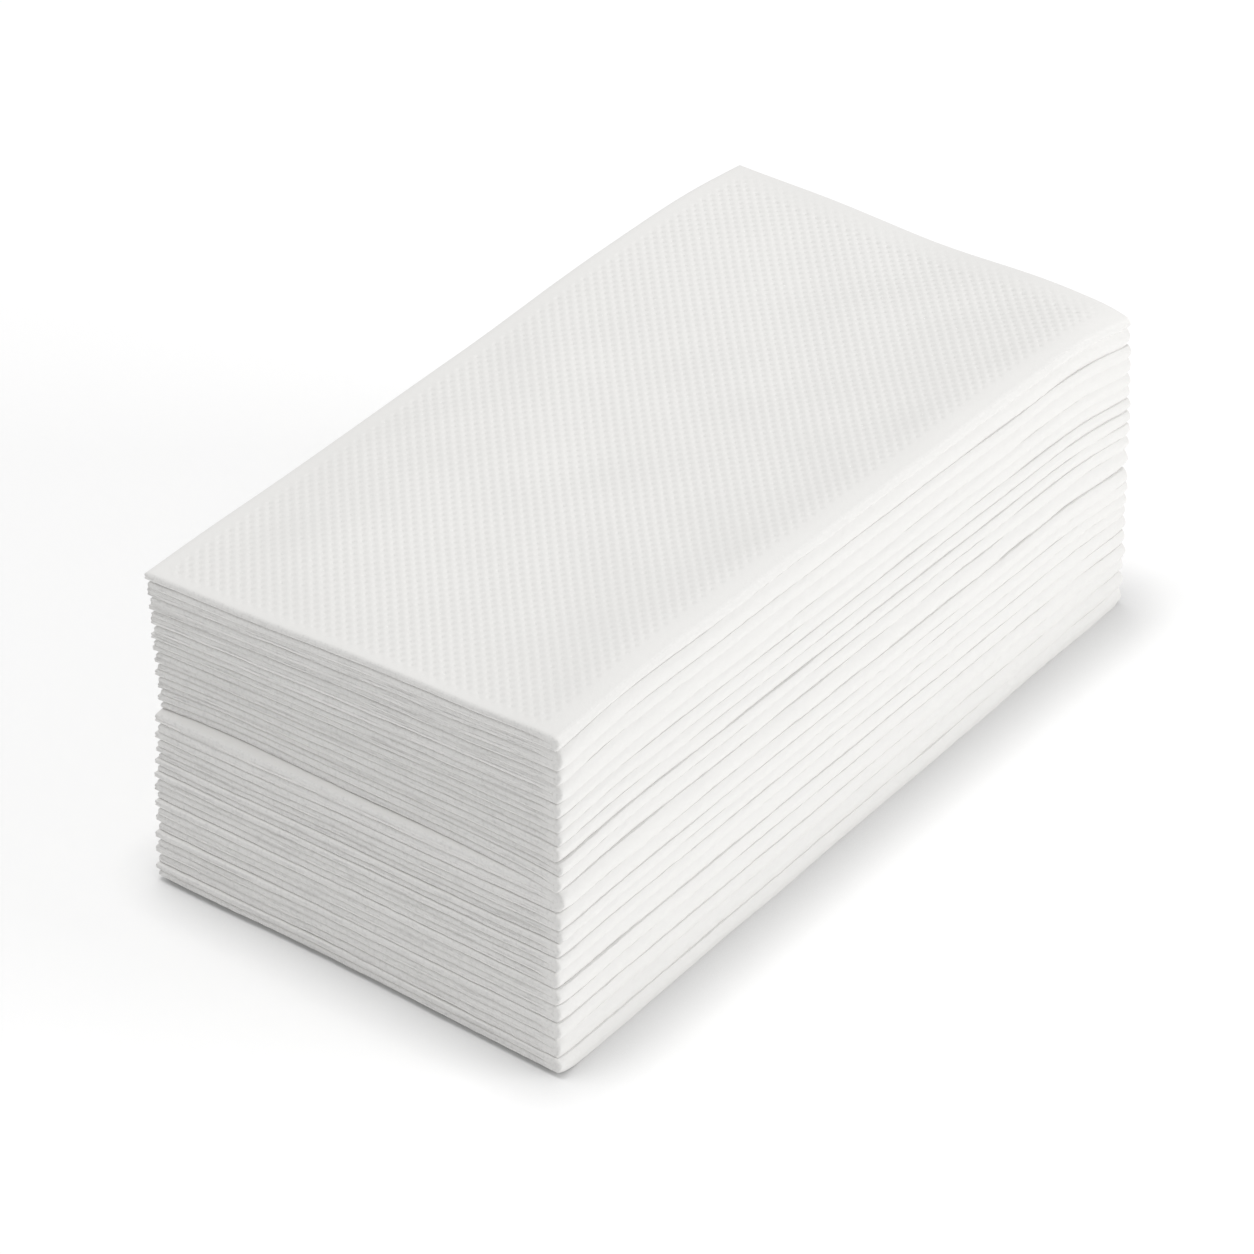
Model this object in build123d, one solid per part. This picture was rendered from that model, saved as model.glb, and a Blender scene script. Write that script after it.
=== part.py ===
from build123d import *

import os

# Driving dimensions, in millimetres.
# X runs along a napkin from its cut edges to its cross fold, Y across it from its
# spine fold to its open side, and Z up. The origin is under the middle of the stack.

# One napkin: a square sheet folded three times, into eight layers.
napkin_length = 200.0
napkin_width = 102.5

# The whole stack, from the floor to the top face.
stack_height = 76.5

# The layers lie in pairs. Two pairs make a leaf, and the spine fold joins two leaves.
spine_opening = 0.5
pair_opening = 0.16
pair_stagger = 0.4
cut_leaf_setback = 0.9
cross_fold_depth = 2.5

# A pressed fold bulges less than a half round, by this share of what is folded there.
fold_nose_share = 0.3

# How the napkins lie on each other, in two bundles.
bundle_step = 2.2
side_scatter = 0.9
turn_scatter = 0.3

# Thickness of each napkin from the bottom one up, as a share of the others' in stack_height.
lower_thickness_shares = [1.24, 1.22, 1.05, 1.14, 1.08, 1.08, 0.85, 0.88, 0.82, 1.06, 1.46]
upper_thickness_shares = [1.01, 0.81, 0.97, 0.86, 0.94, 0.93, 1.28, 0.90, 1.32, 1.03]

# How far each napkin's cut edges stand back, as a share of bundle_step.
lower_back_shares = [0.00, 0.12, 0.04, 0.18, 0.06, 0.15, 0.02, 0.10, 0.20, 0.05, 0.00]
upper_back_shares = [1.00, 1.06, 0.92, 0.96, 0.80, 0.66, 0.58, 0.40, 0.22, 0.00]

# How far each spine fold stands back, as a share of side_scatter.
lower_side_shares = [0.30, 0.50, 0.70, 0.15, 0.35, 0.70, 0.65, 0.60, 1.00, 0.75, 0.95]
upper_side_shares = [0.55, 0.65, 0.35, 0.65, 0.30, 0.25, 0.00, 0.35, 0.30, 0.95]

# How far each napkin is turned about the vertical, as a share of turn_scatter, in degrees.
lower_turn_shares = [0.5, 0.2, 0.6, 0.3, 0.7, 0.4, 0.8, 0.5, 0.7, 0.4, 0.9]
upper_turn_shares = [-0.8, -0.5, -0.9, -0.6, -0.3, -0.6, -0.2, -0.4, 0.1, -0.3]


def wrapped_section(outer, inner, upper_end, lower_end, nose=0, creased=False):
    """A flat band bent into a U round the spine axis, with both its legs towards +Y.

    The upper leg ends in a fold that bulges by the nose, or is cut square without one.
    A creased band has a sharp bend inside the U, and any other a round one.
    """
    upper_tip = Line((upper_end, outer), (upper_end, inner))
    if nose:
        tip = (upper_end + nose, (outer + inner) / 2)
        upper_tip = ThreePointArc((upper_end, outer), tip, (upper_end, inner))
    bend = [ThreePointArc((0, inner), (-inner, 0), (0, -inner))]
    if creased:
        bend = [Line((0, inner), (-inner, 0)), Line((-inner, 0), (0, -inner))]
    edges = [
        Line((0, outer), (upper_end, outer)),
        upper_tip,
        Line((upper_end, inner), (0, inner)),
        *bend,
        Line((0, -inner), (lower_end, -inner)),
        Line((lower_end, -inner), (lower_end, -outer)),
        Line((lower_end, -outer), (0, -outer)),
        ThreePointArc((0, -outer), (-outer, 0), (0, outer)),
    ]
    return make_face(edges)


def far_end_outline(thickness):
    """A napkin seen from its open side: each leaf turns back on itself at the cross fold."""
    leaf = (thickness - spine_opening) / 2
    nose = leaf * fold_nose_share
    near, far = -napkin_length / 2, napkin_length / 2 - nose
    low, high = -thickness / 2, thickness / 2
    edges = [
        Line((near, low), (far, low)),
        ThreePointArc((far, low), (far + nose, low + leaf / 2), (far, low + leaf)),
        Line((far, low + leaf), (far, high - leaf)),
        ThreePointArc((far, high - leaf), (far + nose, high - leaf / 2), (far, high)),
        Line((far, high), (near, high)),
        Line((near, high), (near, low)),
    ]
    return make_face(edges)


def along_napkin(section, start, length):
    """Runs a section along X, from its place on the napkin."""
    return extrude(Plane.YZ.offset(start) * section, amount=length)


def folded_napkin(thickness):
    """One napkin, centred on the origin in X and Y and standing on Z = 0."""
    pair = ((thickness - spine_opening) / 2 - pair_opening) / 2
    nose = pair * fold_nose_share
    outside = thickness / 2
    inside = spine_opening / 2
    fold_end = napkin_width - outside - nose
    cut_end = fold_end - cut_leaf_setback
    inner_fold_end = fold_end - pair_stagger
    inner_cut_end = cut_end - pair_stagger

    outer_pair = wrapped_section(outside, outside - pair, fold_end, cut_end, nose)
    inner_pair = wrapped_section(
        inside + pair, inside, inner_fold_end, inner_cut_end, nose, creased=True
    )
    fold_filling = wrapped_section(
        outside - pair, inside + pair, inner_fold_end, inner_cut_end
    )

    near = -napkin_length / 2
    fold_start = napkin_length / 2 - cross_fold_depth
    body = along_napkin(outer_pair, near, napkin_length)
    body += along_napkin(inner_pair, near, napkin_length)
    body += along_napkin(fold_filling, fold_start, cross_fold_depth)

    outline = Plane.XZ * far_end_outline(thickness)
    body &= extrude(outline, amount=napkin_width, both=True)
    return Pos(0, outside - napkin_width / 2, outside) * body


def stacked_napkins():
    """Every napkin in its place, from the bottom one up, face to face."""
    thickness_shares = lower_thickness_shares + upper_thickness_shares
    back_shares = lower_back_shares + upper_back_shares
    side_shares = lower_side_shares + upper_side_shares
    turn_shares = lower_turn_shares + upper_turn_shares
    napkins = []
    height = 0
    for number, thickness_share in enumerate(thickness_shares):
        thickness = stack_height * thickness_share / sum(thickness_shares)
        place = Pos(bundle_step * back_shares[number], side_scatter * side_shares[number], height)
        turn = Rot(0, 0, turn_scatter * turn_shares[number])
        napkins.append(place * turn * folded_napkin(thickness))
        height += thickness
    return napkins


def centred(napkins):
    """Moves the stack so that the middle of its box stands over the origin."""
    box = Compound(napkins).bounding_box()
    middle = box.center()
    return [Pos(-middle.X, -middle.Y, -box.min.Z) * napkin for napkin in napkins]


os.makedirs("parts", exist_ok=True)
for number, napkin in enumerate(centred(stacked_napkins()), start=1):
    export_step(napkin, f"parts/napkin_{number:02d}.step")
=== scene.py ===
"""A stack of folded paper napkins, 21 sheets in two bundles, on a pale studio floor.

Each napkin is one closed surface. Two leaves of four layers are wrapped round a spine fold. Their
cut edges face -X, their cross folds +X, and their open side +Y. Shapes are worked out in
millimetres, and turn into metres where a mesh is made.
"""

import math
from types import SimpleNamespace

import bmesh
import bpy
import numpy as np
from mathutils import Matrix, Vector


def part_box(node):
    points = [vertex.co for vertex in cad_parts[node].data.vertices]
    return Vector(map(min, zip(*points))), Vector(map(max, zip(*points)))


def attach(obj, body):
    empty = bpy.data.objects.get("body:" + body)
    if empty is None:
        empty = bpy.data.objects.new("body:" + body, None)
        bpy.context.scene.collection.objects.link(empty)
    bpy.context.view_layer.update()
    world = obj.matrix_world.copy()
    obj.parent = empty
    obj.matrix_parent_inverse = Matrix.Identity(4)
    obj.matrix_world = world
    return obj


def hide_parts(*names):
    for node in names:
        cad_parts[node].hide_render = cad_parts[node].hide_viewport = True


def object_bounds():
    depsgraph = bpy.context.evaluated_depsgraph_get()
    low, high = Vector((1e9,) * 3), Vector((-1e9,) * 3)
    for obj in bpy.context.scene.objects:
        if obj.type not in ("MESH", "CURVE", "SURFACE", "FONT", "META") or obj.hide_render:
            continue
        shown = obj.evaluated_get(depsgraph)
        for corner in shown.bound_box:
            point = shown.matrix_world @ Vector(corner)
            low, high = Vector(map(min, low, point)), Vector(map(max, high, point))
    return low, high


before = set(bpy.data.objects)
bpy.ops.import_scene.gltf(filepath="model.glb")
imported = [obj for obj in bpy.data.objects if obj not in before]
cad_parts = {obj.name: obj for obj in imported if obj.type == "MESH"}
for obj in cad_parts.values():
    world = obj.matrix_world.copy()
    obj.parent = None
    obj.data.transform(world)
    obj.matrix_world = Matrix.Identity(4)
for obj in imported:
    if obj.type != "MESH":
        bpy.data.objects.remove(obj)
CAD_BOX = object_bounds()

bl_info = {
    "name": "Napkin Stack",
    "version": (1, 0, 0),
    "blender": (4, 5, 0),
    "location": "View3D > Sidebar > Napkins",
    "description": "Builds a stack of folded paper napkins round its solid model",
    "category": "Object",
}

MM = 0.001
BODY = "root"

# The two bundles, from the bottom napkin up.
NODES = sorted(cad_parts)
LOWER_COUNT = 11
LOWER_BUNDLE = NODES[:LOWER_COUNT]
UPPER_BUNDLE = NODES[LOWER_COUNT:-1]
TOP_NAPKIN = NODES[-1:]

# Layers run outwards through a leaf, from the slot beside it to its face.
LAYER_COUNT = 4
IN_LAYER_SHARES = (0.12, 0.5, 0.88)

# The finishes of a napkin, in the order of its materials.
FACE, FOLD, CUT = 0, 1, 2

# How far the top face stands above its even height, in millimetres. A row runs along the stack
# from the cut edges to the cross folds, and the rows run from the spine side to the open side.
ALONG = np.array([-1.0, -0.82, -0.55, 0.0, 0.5, 0.8, 1.0])
ACROSS = np.array([-1.0, -0.6, 0.0, 0.6, 1.0])
TOP_RISE = np.array(
    [
        [2.7, 5.0, 5.2, 4.8, 4.0, 2.7, -2.3],
        [1.2, 2.2, 2.2, 2.1, 1.8, 1.1, -0.8],
        [-0.7, -0.2, 0.0, 0.0, -0.1, -1.0, -2.1],
        [-3.4, -1.7, -1.2, -0.7, -0.2, -0.7, -1.6],
        [-4.7, -4.0, -3.7, -2.0, -0.1, -0.4, -2.3],
    ]
)

# How far the ends of a napkin lie off its solid, in millimetres, at the bottom, the middle and
# the top of each bundle: the cut end along X, the far end along X, and then both along Y.
LOWER_SHIFTS = [[-1.0, -0.3, 1.5], [1.2, 0.6, 0.1], [-2.0, -0.7, -0.3], [-0.6, -0.5, -0.4]]
UPPER_SHIFTS = [[-0.7, 0.8, 1.8], [-1.6, -0.9, -2.3], [-0.6, 0.6, 0.5], [0.6, 1.7, 0.8]]

# How far a cut edge stands back in the middle of its width, and at its open side.
LOWER_CUT_BACK = [[0.0, 0.0, 0.0], [-1.3, 0.0, 0.0]]
UPPER_CUT_BACK = [[1.8, 0.6, 0.0], [1.2, 0.3, 0.0]]

# How deep the valley above each napkin is in the spine face, from the bottom one up.
LOWER_VALLEY_SHARES = [0.45, 0.64, 0.5, 0.58, 0.5, 0.5, 0.58, 0.54, 0.5, 0.7, 0.68]
UPPER_VALLEY_SHARES = [0.52, 0.64, 0.52, 0.56, 0.58, 0.58, 0.54, 0.63, 0.7, 0.5]
VALLEY_SHARES = LOWER_VALLEY_SHARES + UPPER_VALLEY_SHARES

# How much of the sideways scatter of the solids their surfaces keep, and how it is evened out.
SIDE_SCATTER_SHARE = 0.55
NEIGHBOUR_SHARES = (0.3, 0.4, 0.3)

# Longest and shortest wavelength in millimetres, and number of waves, for each uneven thing.
STACK_WAVES = (90, 30, 10)
EDGE_WAVES = (9, 3, 14)
TOP_WAVES = (46, 17, 14)
SPINE_WAVES = (60, 18, 10)
CRINKLE_WAVES = (6, 2, 14)
VALLEY_WAVES = (50, 15, 10)
MIDDLE_WAVES = (40, 10, 10)
PUFF_WAVES = (6, 1.8, 14)
LAYER_WAVES = (40, 8, 10)
FRAY_WAVES = (4, 1.2, 14)

# Starts of the random draws, apart from each other, so that no two things share their waves.
SEEDS_PER_STACK = 1000
SEEDS_PER_NAPKIN = 40
SURFACE_SEED, EDGE_SEED, TOP_SEED = 100, 200, 300
LAYER_SEED, FRAY_SEED = 10, 20

# Reaches in millimetres over which something fades, inwards from an edge of the stack.
EDGE_REACH = 2.5
LIP_REACH = 2.4
SPINE_DROP_REACH = 10.0
CUT_CORNER_REACH = 15.0
FAR_CORNER_REACH = 12.0

# What is left of the spine drop at the two corners of the spine fold.
CUT_CORNER_DROP_SHARE = 0.3
FAR_CORNER_DROP_SHARE = 0.65

# The slow waves grow from the floor up to this share of the stack's height.
WAVES_GROW_SHARE = 1 / 3

# The slot between the leaves: how far the spine fold narrows it, and how it puffs out.
SPINE_SLOT_REACH = 4.0
PUFF_SHARE, MOST_PUFFS = 0.3, 2

# Where the upper leaf and the open side take their heights from a field of waves, in millimetres.
UPPER_LEAF_WAVES_AT = 500.0
OPEN_SIDE_WAVES_AT = 300.0

# The spine fold: its crinkles, the change of its valleys, and how the layers in it nest.
CRINKLE_HEIGHT, CRINKLE_STRETCH = 0.025, 2
VALLEY_SPREAD = (0.9, 1.1)
VALLEY_CHANGE = 0.12
FLARE_REACH = 1.6
NEST_SHARE = 0.9
NOSE_POWER = 2.1
MIDDLE_WAVINESS = 0.05

# The cut edge swings back close to the cut alone, and most in the middle of its width.
CUT_BACK_POWER = 6
EDGE_CURVE_POWER = 3

# Air between two napkins, in millimetres.
NAPKIN_GAP = 0.02

# The layers of a cut edge. Near the spine fold they are pressed together and end more evenly,
# and so they do in the top napkin.
PRESSED_SHARE = 0.25
PRESSED_WIDTH, PRESSED_REACH = 1.0, 3.0
TOP_LOOSE_SHARE = 0.4
FRAY_SHARE = 0.5
MIDDLE_GROOVE_SHARE = 1.7
LAYER_ROUNDING_SHARE = 0.16
SLOT_ROUNDING_REACH = 5.0
LEAF_ROUNDING_POWER = 4

# How far inside and outside the cut a layer may end, in millimetres.
DEEPEST_END, FURTHEST_END = -0.9, 0.4

# Spacing of the vertices in millimetres: along the cut edges, the spine fold, the open sides and
# the cross fold. The slot takes one place in eight of those along the open side.
CUT_STEP = 0.8
SIDE_STEP = 1.0
OPEN_STEP = 2.0
CROSS_STEP = 2.5
SLOT_STRIDE = 8

# How far the strip round the spine starts and stops from the napkin's ends, in millimetres, and
# how far the two rings of a face lie inside its edges.
STRIP_START, STRIP_END = 0.8, 0.9
RING_INSETS = (0.95, 1.9)

# The spine fold's turn and its shoulders, on the path of the fold.
SPINE_TURNS = np.linspace(-1, 1, 15)
SHOULDER = np.array([0.006, 0.015])
ROUNDING_ERROR = 1e-9

# A plain face has a coarse grid inside its rings: its distance from the ends in millimetres, its
# numbers of vertices, and where it starts and stops across the leaf.
GRID_MARGIN = 5.0
GRID_COUNTS = (17, 9)
GRID_SHARES = (0.06, 0.95)

# The embossed face: its grid, how the dots fade out towards its four edges, the stronger row near
# the cross fold with weaker dots beyond it, and the slow waves, which calm down at the edges.
VERTICES_PER_PITCH = (3, 6)
GRID_FROM_ENDS, GRID_FROM_SPINE, GRID_FROM_OPEN_SIDE = 2.4, 3.9, 2.7
SPINE_FADE_REACH = 3.0
OPEN_FADE_START, OPEN_FADE_REACH = 2.0, 2.5
CUT_FADE_START, CUT_FADE_REACH = 1.8, 1.5
CROSS_FADE_START, CROSS_FADE_REACH = 2.4, 2.0
STRONG_ROW_FROM_END, STRONG_ROW_WIDTH = 9.0, 0.8
WEAK_DOT_SHARE, WEAK_DOT_REACH = 0.5, 1.5
TOP_WAVINESS = 0.11
CALM_SIDE_REACH, CALM_END_REACH = 12.0, 14.0

# The tissue: scale, detail and roughness of its two noises, and their shares in its height.
FINE_FIBRE, COARSE_FIBRE = (3200.0, 3.0, 0.6), (900.0, 2.0, 0.5)
FINE_SHARE, COARSE_SHARE = 0.6, 0.4
SPECK_SCALE, SPECK_DETAIL, SPECK_MIDDLE, SPECK_CONTRAST = 1400.0, 1.0, 0.5, 4.0
SPECK_COLOR_SHARE = 0.91
PAPER_ROUGHNESS, PAPER_SPECULAR = 0.95, 0.15

# Soft boxes: the place of each, and its width and height, in metres.
OVERHEAD = ((0.12, 0.3, 2.0), (0.5, 0.5))
BESIDE = ((0.9, -1.8, 0.55), (1.2, 0.5))
OVER_CUT_EDGES = ((-0.35, 0.3, 2.0), (0.5, 0.5))
LIGHT_TARGET = (0, 0, 0.04)
FLOOR_REACH = 6.0

# The camera, at the photograph's angle: degrees, millimetres, and pixels of the photograph.
CAMERA_AZIMUTH = -53.17
CAMERA_ELEVATION = 35.557
CAMERA_ROLL = 0.957
CAMERA_DISTANCE = 1017.1
CAMERA_AIM = (-19.43, -6.06, 40.0)
CAMERA_FOCAL_PIXELS = 5000.0
PHOTO_SIDE = 1254
SENSOR_WIDTH = 36.0
CLIP_START, CLIP_END = 0.05, 50


# Settings


class NapkinFolds(bpy.types.PropertyGroup):
    """How one napkin is folded and cut."""

    slot_width: bpy.props.FloatProperty(
        name="Slot Width", description="Gap between the two leaves",
        default=0.09 * MM, min=0.02 * MM, unit="LENGTH",
    )
    spine_slot_width: bpy.props.FloatProperty(
        name="Spine Slot Width", description="Gap between the leaves inside the spine fold",
        default=0.04 * MM, unit="LENGTH",
    )
    cross_fold_nose: bpy.props.FloatProperty(
        name="Cross Fold Nose", description="How far the cross fold bulges",
        default=0.55 * MM, unit="LENGTH",
    )
    first_fold_nose: bpy.props.FloatProperty(
        name="First Fold Nose", description="How far the first folds bulge",
        default=0.4 * MM, unit="LENGTH",
    )
    cut_leaf_setback: bpy.props.FloatProperty(
        name="Cut Leaf Setback", description="How far the lower leaf ends short of the upper one",
        default=0.35 * MM, unit="LENGTH",
    )
    layer_scatter: bpy.props.FloatProperty(
        name="Layer Scatter", description="How unevenly the layers end at the cut",
        default=0.045 * MM, unit="LENGTH",
    )
    layer_groove: bpy.props.FloatProperty(
        name="Layer Groove", description="Depth of the groove between two layers at the cut",
        default=0.05 * MM, unit="LENGTH",
    )
    leaf_rounding: bpy.props.FloatProperty(
        name="Leaf Rounding", description="How far the cut end of a leaf is rounded off",
        default=0.37 * MM, unit="LENGTH",
    )
    spine_roundness: bpy.props.FloatProperty(
        name="Spine Roundness", description="How far the spine fold bulges, as a share of a half round",
        default=0.36, min=0.1, max=1, subtype="FACTOR",
    )
    spine_flare: bpy.props.FloatProperty(
        name="Spine Flare", description="How much rounder the spine fold is at its two ends",
        default=1.5,
    )
    spine_jitter: bpy.props.FloatProperty(
        name="Spine Jitter", description="How far the spine fold strays from a straight line",
        default=0.045 * MM, unit="LENGTH",
    )
    spine_end_rounding: bpy.props.FloatProperty(
        name="Spine End Rounding", description="How far the spine fold is rounded off at the cut",
        default=0.2 * MM, unit="LENGTH",
    )
    seed: bpy.props.IntProperty(
        name="Seed", description="Start of the small differences between napkins", default=7
    )


class StackLie(bpy.types.PropertyGroup):
    """How the napkins settle on each other."""

    bulge: bpy.props.FloatProperty(
        name="Bulge", description="How much of the measured rise and droop of the top the stack has",
        default=1.0,
    )
    waviness: bpy.props.FloatProperty(
        name="Waviness", description="Height of the slow waves between two napkins",
        default=0.06 * MM, unit="LENGTH",
    )
    spine_drop: bpy.props.FloatProperty(
        name="Spine Drop", description="How far the top face curves down to its spine fold",
        default=1.9 * MM, unit="LENGTH",
    )
    lip_drop: bpy.props.FloatProperty(
        name="Lip Drop", description="How far the cut edge on top of the lower bundle curves down",
        default=0.45 * MM, unit="LENGTH",
    )
    edge_lift: bpy.props.FloatProperty(
        name="Edge Lift", description="How far the bottom cut edge stands off the floor",
        default=1.1 * MM, unit="LENGTH",
    )
    edge_waviness: bpy.props.FloatProperty(
        name="Edge Waviness", description="Height of the short waves along the edges",
        default=0.03 * MM, unit="LENGTH",
    )


class TopEmboss(bpy.types.PropertyGroup):
    """The pressed dots on the face of the top napkin."""

    pitch_along: bpy.props.FloatProperty(
        name="Pitch Along", description="Distance of the rows of dots along the napkin",
        default=1.53 * MM, unit="LENGTH",
    )
    pitch_across: bpy.props.FloatProperty(
        name="Pitch Across", description="Distance of two dots of a row",
        default=2.7 * MM, unit="LENGTH",
    )
    depth: bpy.props.FloatProperty(
        name="Depth", description="Depth of a dot", default=0.38 * MM, unit="LENGTH"
    )
    width: bpy.props.FloatProperty(
        name="Width", description="Width of a dot", default=0.9 * MM, unit="LENGTH"
    )
    spine_band: bpy.props.FloatProperty(
        name="Spine Band", description="Width of the smooth band along the spine fold",
        default=3.2 * MM, unit="LENGTH",
    )


class StudioStage(bpy.types.PropertyGroup):
    """Paper, floor and light."""

    paper_color: bpy.props.FloatVectorProperty(
        name="Paper", description="Colour of the tissue",
        subtype="COLOR", default=(0.797, 0.79, 0.775), min=0, max=1,
    )
    floor_color: bpy.props.FloatVectorProperty(
        name="Floor", description="Colour of the floor",
        subtype="COLOR", default=(0.98, 0.98, 0.98), min=0, max=1,
    )
    floor_glow: bpy.props.FloatProperty(
        name="Floor Glow", description="How far the floor shines by itself, so that it fades to white",
        default=0.03, subtype="FACTOR",
    )
    # The floor's painted shadow: how far it reaches from the stack, and how dark it gets.
    painted_shadow_reach: bpy.props.FloatProperty(
        name="Rim Reach", description="How far the dark rim round the stack reaches over the floor",
        default=14.0 * MM, unit="LENGTH",
    )
    painted_shadow_strength: bpy.props.FloatProperty(
        name="Rim Shade", description="How much darker the floor is where the stack hides the room",
        default=0.4, min=0, max=1, subtype="FACTOR",
    )
    sky_strength: bpy.props.FloatProperty(
        name="Sky", description="Strength of the even light", default=0.555
    )
    overhead_power: bpy.props.FloatProperty(
        name="Overhead Light", description="Power of the soft box over the stack",
        default=6.9, unit="POWER",
    )
    side_power: bpy.props.FloatProperty(
        name="Side Light", description="Power of the soft box beside the spine folds",
        default=18.0, unit="POWER",
    )
    cut_side_power: bpy.props.FloatProperty(
        name="Cut Side Light", description="Power of the soft box over the cut edges",
        default=9.3, unit="POWER",
    )


def in_millimetres(settings):
    """The values of a group of settings, with its lengths in millimetres."""
    values = {}
    for name in settings.__annotations__:
        value = getattr(settings, name)
        is_length = settings.bl_rna.properties[name].unit == "LENGTH"
        values[name] = value / MM if is_length else value
    return SimpleNamespace(**values)


# Small helpers


def waves(seed, longest, shortest, count):
    """A smooth random height field, as a list of plane waves of lengths between the two."""
    rng = np.random.default_rng(seed)
    length = np.exp(rng.uniform(math.log(shortest), math.log(longest), count))
    heading = rng.uniform(0, 2 * math.pi, count)
    phase = rng.uniform(0, 2 * math.pi, count)
    size = np.sqrt(length) / np.sqrt(length.sum() / 2)
    along = 2 * math.pi * np.cos(heading) / length
    across = 2 * math.pi * np.sin(heading) / length
    return np.stack([along, across, phase, size])


def height_of(field, x, y):
    """The height of a field of waves at some points, mostly between -1 and 1."""
    total = np.zeros(np.broadcast(x, y).shape)
    for along, across, phase, size in field.T:
        total = total + size * np.cos(along * x + across * y + phase)
    return total


def ease(value):
    """Runs smoothly from 0 to 1 as the value does."""
    value = np.clip(value, 0, 1)
    return value * value * (3 - 2 * value)


def rising_from(share, value):
    """Runs smoothly from a share to 1 as the value runs from 0 to 1."""
    return share + (1 - share) * ease(value)


def dying_out(distance, reach):
    """Falls from 1 at an edge towards 0, and stays 1 beyond the edge."""
    return np.exp(-np.clip(distance, 0, None) / reach)


def through(stations, values, at):
    """A smooth curve through one value at each station. Values may hold a column for each place."""
    steps = np.diff(stations)
    secants = np.diff(values, axis=0) / (steps if values.ndim == 1 else steps[:, None])
    weight = steps[:-1] / (steps[:-1] + steps[1:])
    weight = weight if values.ndim == 1 else weight[:, None]
    inner_slopes = secants[:-1] * (1 - weight) + secants[1:] * weight
    slopes = np.concatenate([secants[:1], inner_slopes, secants[-1:]])
    at = np.clip(at, stations[0], stations[-1])
    k = np.clip(np.searchsorted(stations, at, side="right") - 1, 0, len(stations) - 2)
    t = (at - stations[k]) / steps[k]
    columns = () if values.ndim == 1 else (np.arange(values.shape[1]),)
    rise, fall = 3 * t**2 - 2 * t**3, t**3 - t**2
    ends = values[(k, *columns)] * (1 - rise) + values[(k + 1, *columns)] * rise
    leaning = slopes[(k, *columns)] * (t + fall - t**2) + slopes[(k + 1, *columns)] * fall
    return ends + steps[k] * leaning


def bundle_values(lower, upper, number):
    """Values of one napkin, from those at the bottom, the middle and the top of its bundle."""
    if number < LOWER_COUNT:
        values, place = lower, number / (LOWER_COUNT - 1)
    else:
        values, place = upper, (number - LOWER_COUNT) / (len(NODES) - LOWER_COUNT - 1)
    return [float(np.interp(place, (0, 0.5, 1), row)) for row in values]


class Skin:
    """Vertices and faces of one closed surface."""

    def __init__(self):
        self.points = []
        self.quads = []
        self.triangles = []
        self.finishes = {"quads": [], "triangles": []}
        self.count = 0

    def add(self, points):
        """Adds points of shape (..., 3) and returns their numbers, of shape (...)."""
        flat = points.reshape(-1, 3)
        numbers = np.arange(self.count, self.count + len(flat)).reshape(points.shape[:-1])
        self.points.append(flat)
        self.count += len(flat)
        return numbers

    def cover(self, grid, finish):
        """Faces between the rows and columns of a grid of vertex numbers."""
        corners = [grid[:-1, :-1], grid[1:, :-1], grid[1:, 1:], grid[:-1, 1:]]
        faces = np.stack(corners, -1).reshape(-1, 4)
        self.quads.append(faces)
        self.finishes["quads"].append(np.full(len(faces), finish))

    def stitch(self, near, near_at, far, far_at, finish):
        """Triangles between two rows of vertices whose spacing differs."""
        faces = []
        i = j = 0
        while i < len(near) - 1 or j < len(far) - 1:
            step_near = j == len(far) - 1
            if i < len(near) - 1 and not step_near:
                step_near = near_at[i + 1] <= far_at[j + 1]
            if step_near:
                faces.append((near[i], near[i + 1], far[j]))
                i += 1
            else:
                faces.append((near[i], far[j + 1], far[j]))
                j += 1
        self.triangles.append(np.array(faces))
        self.finishes["triangles"].append(np.full(len(faces), finish))

    def build(self, name, materials):
        """Makes the object, in metres."""
        points = np.concatenate(self.points) * MM
        faces = np.concatenate(self.quads).tolist() + np.concatenate(self.triangles).tolist()
        mesh = bpy.data.meshes.new(name)
        mesh.from_pydata(points.tolist(), [], faces)
        for material in materials:
            mesh.materials.append(material)
        finish = np.concatenate(self.finishes["quads"] + self.finishes["triangles"])
        mesh.polygons.foreach_set("material_index", finish.astype(np.int32))
        form = bmesh.new()
        form.from_mesh(mesh)
        bmesh.ops.recalc_face_normals(form, faces=form.faces)
        form.to_mesh(mesh)
        form.free()
        mesh.shade_smooth()
        piece = bpy.data.objects.new(name, mesh)
        bpy.context.scene.collection.objects.link(piece)
        return piece


# How the stack lies


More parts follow.
